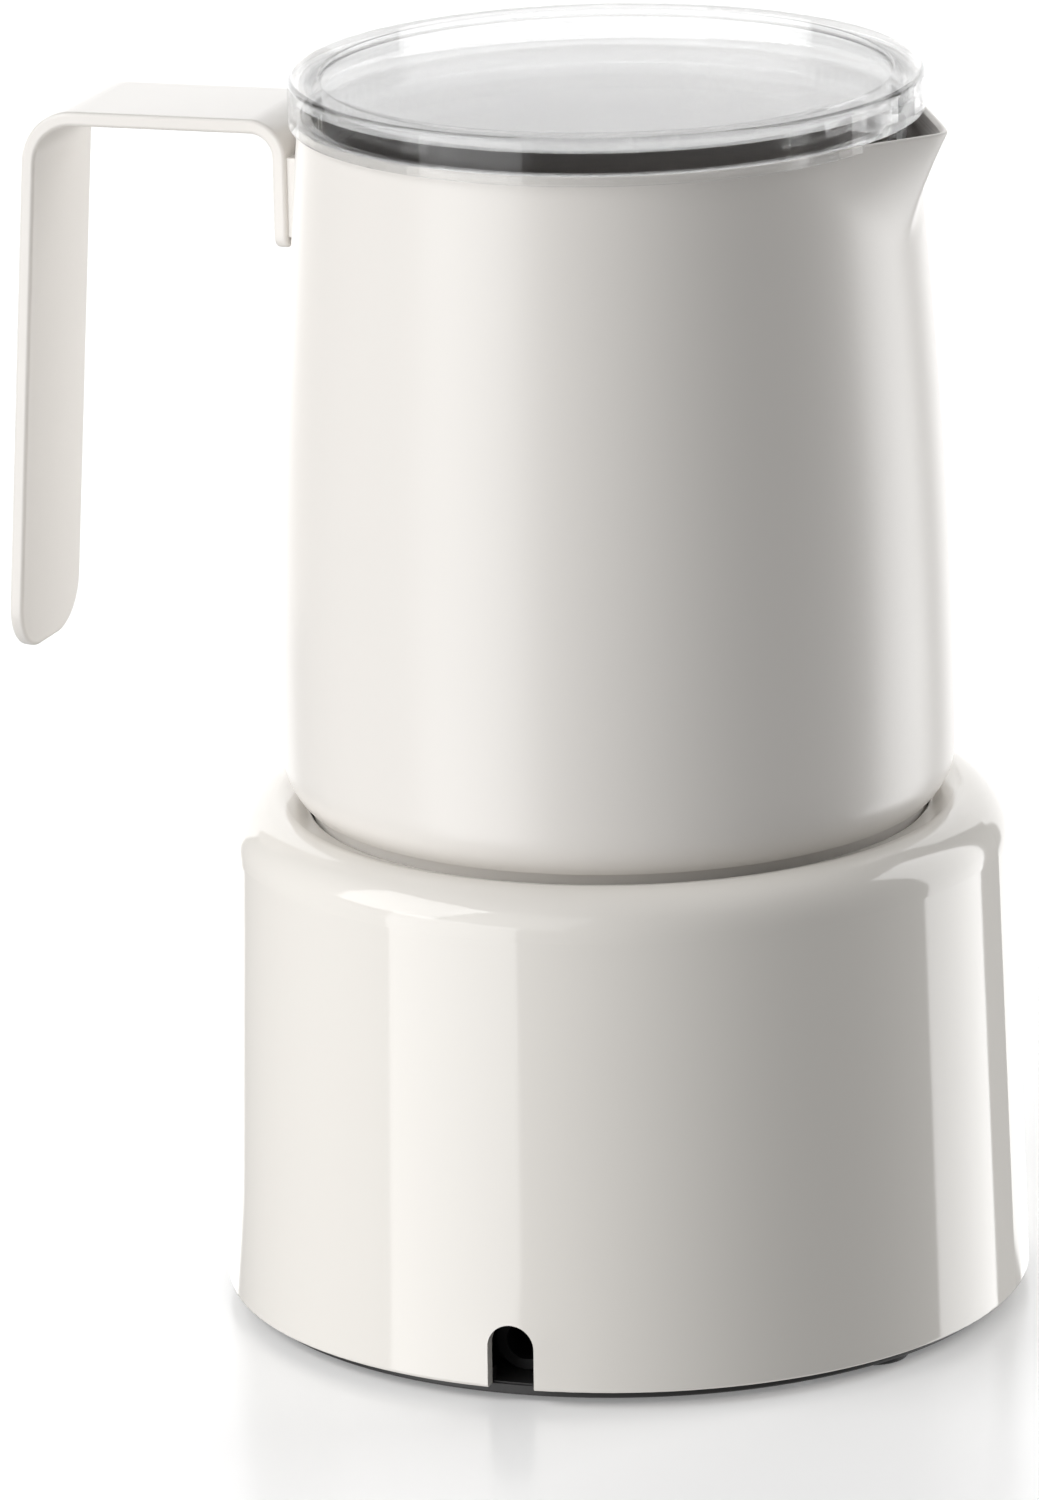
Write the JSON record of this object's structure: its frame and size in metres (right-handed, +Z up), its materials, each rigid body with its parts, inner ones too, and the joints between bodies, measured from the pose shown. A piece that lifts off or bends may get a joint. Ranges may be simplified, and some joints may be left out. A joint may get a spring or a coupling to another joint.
{
  "type": "milk frother",
  "caption": "Induction milk frother: round base with a magnetic drive, a lift-off coated steel jug with a strap handle and spout, a clear lid and a magnetic whisk.",
  "frame": {"origin": "on the base's upright axis, in the plane that the rubber feet stand on, which is 0.9 mm under the base plate's flat underside", "axes": "+Z up along the base's and the jug's common axis; -Y out through the cord outlet; +Y out through the start button; the handle is on the -X side and the spout on the +X side, turned 3.5 degrees clockwise seen from above"},
  "size_m": [0.1689, 0.1319, 0.2037],
  "materials": {
    "gloss_housing": "glossy off-white moulding",
    "base_plate": "matt black moulding",
    "zinc_screw": "zinc-plated steel",
    "foot_rubber": "soft black rubber",
    "seat_plate": "smooth black plate",
    "seal_rubber": "black seal",
    "gland_rubber": "matt black rubber",
    "dark_plastic": "dark moulding",
    "carrier_plastic": "heat-resistant natural moulding",
    "coil_copper": "enamelled copper winding",
    "ferrite": "sintered dark grey",
    "zinc_sheet": "plated sheet steel",
    "bright_steel": "bright steel",
    "magnet_nickel": "nickel-plated magnet",
    "circuit_board": "green solder mask",
    "heatsink_aluminium": "extruded aluminium",
    "component_black": "black component body",
    "component_grey": "grey component body",
    "light_pipe": "clear white light guide",
    "button_plastic": "glossy off-white button",
    "jug_paint": "satin off-white coating on steel",
    "jug_base": "brushed magnetic steel",
    "handle_paint": "satin off-white coating on steel",
    "whisk_plastic": "dark food-safe moulding",
    "whisk_wire": "bright stainless wire",
    "lid_clear": "clear polished plastic",
    "lid_silicone": "translucent grey silicone"
  },
  "bodies": {
    "base": {"base_shell": "gloss_housing", "base_plate": "base_plate", "base_screws": "zinc_screw", "rubber_feet": "foot_rubber", "seat_plate": "seat_plate", "seat_seal": "seal_rubber", "cable_gland": "gland_rubber", "cord_clamp": "dark_plastic", "clamp_screws": "zinc_screw", "coil_former": "carrier_plastic", "former_screws": "zinc_screw", "induction_coil": "coil_copper", "ferrite_bars": "ferrite", "motor_bracket": "zinc_sheet", "bracket_screws": "zinc_screw", "motor_can": "zinc_sheet", "motor_screws": "zinc_screw", "sensor_guide": "carrier_plastic", "sensor_spring": "bright_steel", "main_board": "circuit_board", "board_screws": "zinc_screw", "heatsink": "heatsink_aluminium", "power_transistors": "component_black", "film_capacitors": "component_grey", "smoothing_capacitor": "component_black", "choke": "component_black", "fan_frame": "component_black", "fan_screws": "zinc_screw", "control_board": "circuit_board", "control_screws": "zinc_screw", "tact_switch": "component_black", "status_leds": "component_grey", "light_pipes": "light_pipe", "button_spring": "bright_steel"},
    "drive": {"motor_shaft": "bright_steel", "drive_hub": "dark_plastic", "drive_magnets": "magnet_nickel"},
    "fan": {"fan_rotor": "component_black"},
    "button": {"start_button": "button_plastic"},
    "sensor": {"sensor_cap": "dark_plastic"},
    "jug": {"jug_body": "jug_paint", "jug_base_disc": "jug_base", "handle": "handle_paint", "whisk_pin": "bright_steel"},
    "whisk": {"whisk_hub": "whisk_plastic", "whisk_magnets": "magnet_nickel", "whisk_ring": "whisk_wire"},
    "lid": {"lid": "lid_clear", "lid_seal": "lid_silicone"}
  },
  "joints": [
    {"name": "drive_spin", "type": "hinge", "parent": "base", "child": "drive", "pos_m": [0, 0, 0.07], "axis": [0, 0, 1], "continuous": true},
    {"name": "fan_spin", "type": "hinge", "parent": "base", "child": "fan", "pos_m": [0.029, 0.01, 0.012], "axis": [0, 0, 1], "continuous": true},
    {"name": "button_press", "type": "slide", "parent": "base", "child": "button", "axis": [0, -1, 0], "range_m": [0, 0.0005], "stiffness_N_per_m": 600, "deforming": ["button_spring"]},
    {"name": "sensor_press", "type": "slide", "parent": "base", "child": "sensor", "axis": [0, 0, 1], "range_m": [-0.0015, 0], "stiffness_N_per_m": 100, "deforming": ["sensor_spring"]},
    {"name": "jug_lift", "type": "slide", "parent": "base", "child": "jug", "axis": [0, 0, 1], "range_m": [0, 0.15]},
    {"name": "whisk_spin", "type": "hinge", "parent": "jug", "child": "whisk", "pos_m": [0, 0, 0.085], "axis": [0, 0, 1], "continuous": true},
    {"name": "lid_lift", "type": "slide", "parent": "jug", "child": "lid", "axis": [0, 0, 1], "range_m": [0, 0.06]}
  ]
}
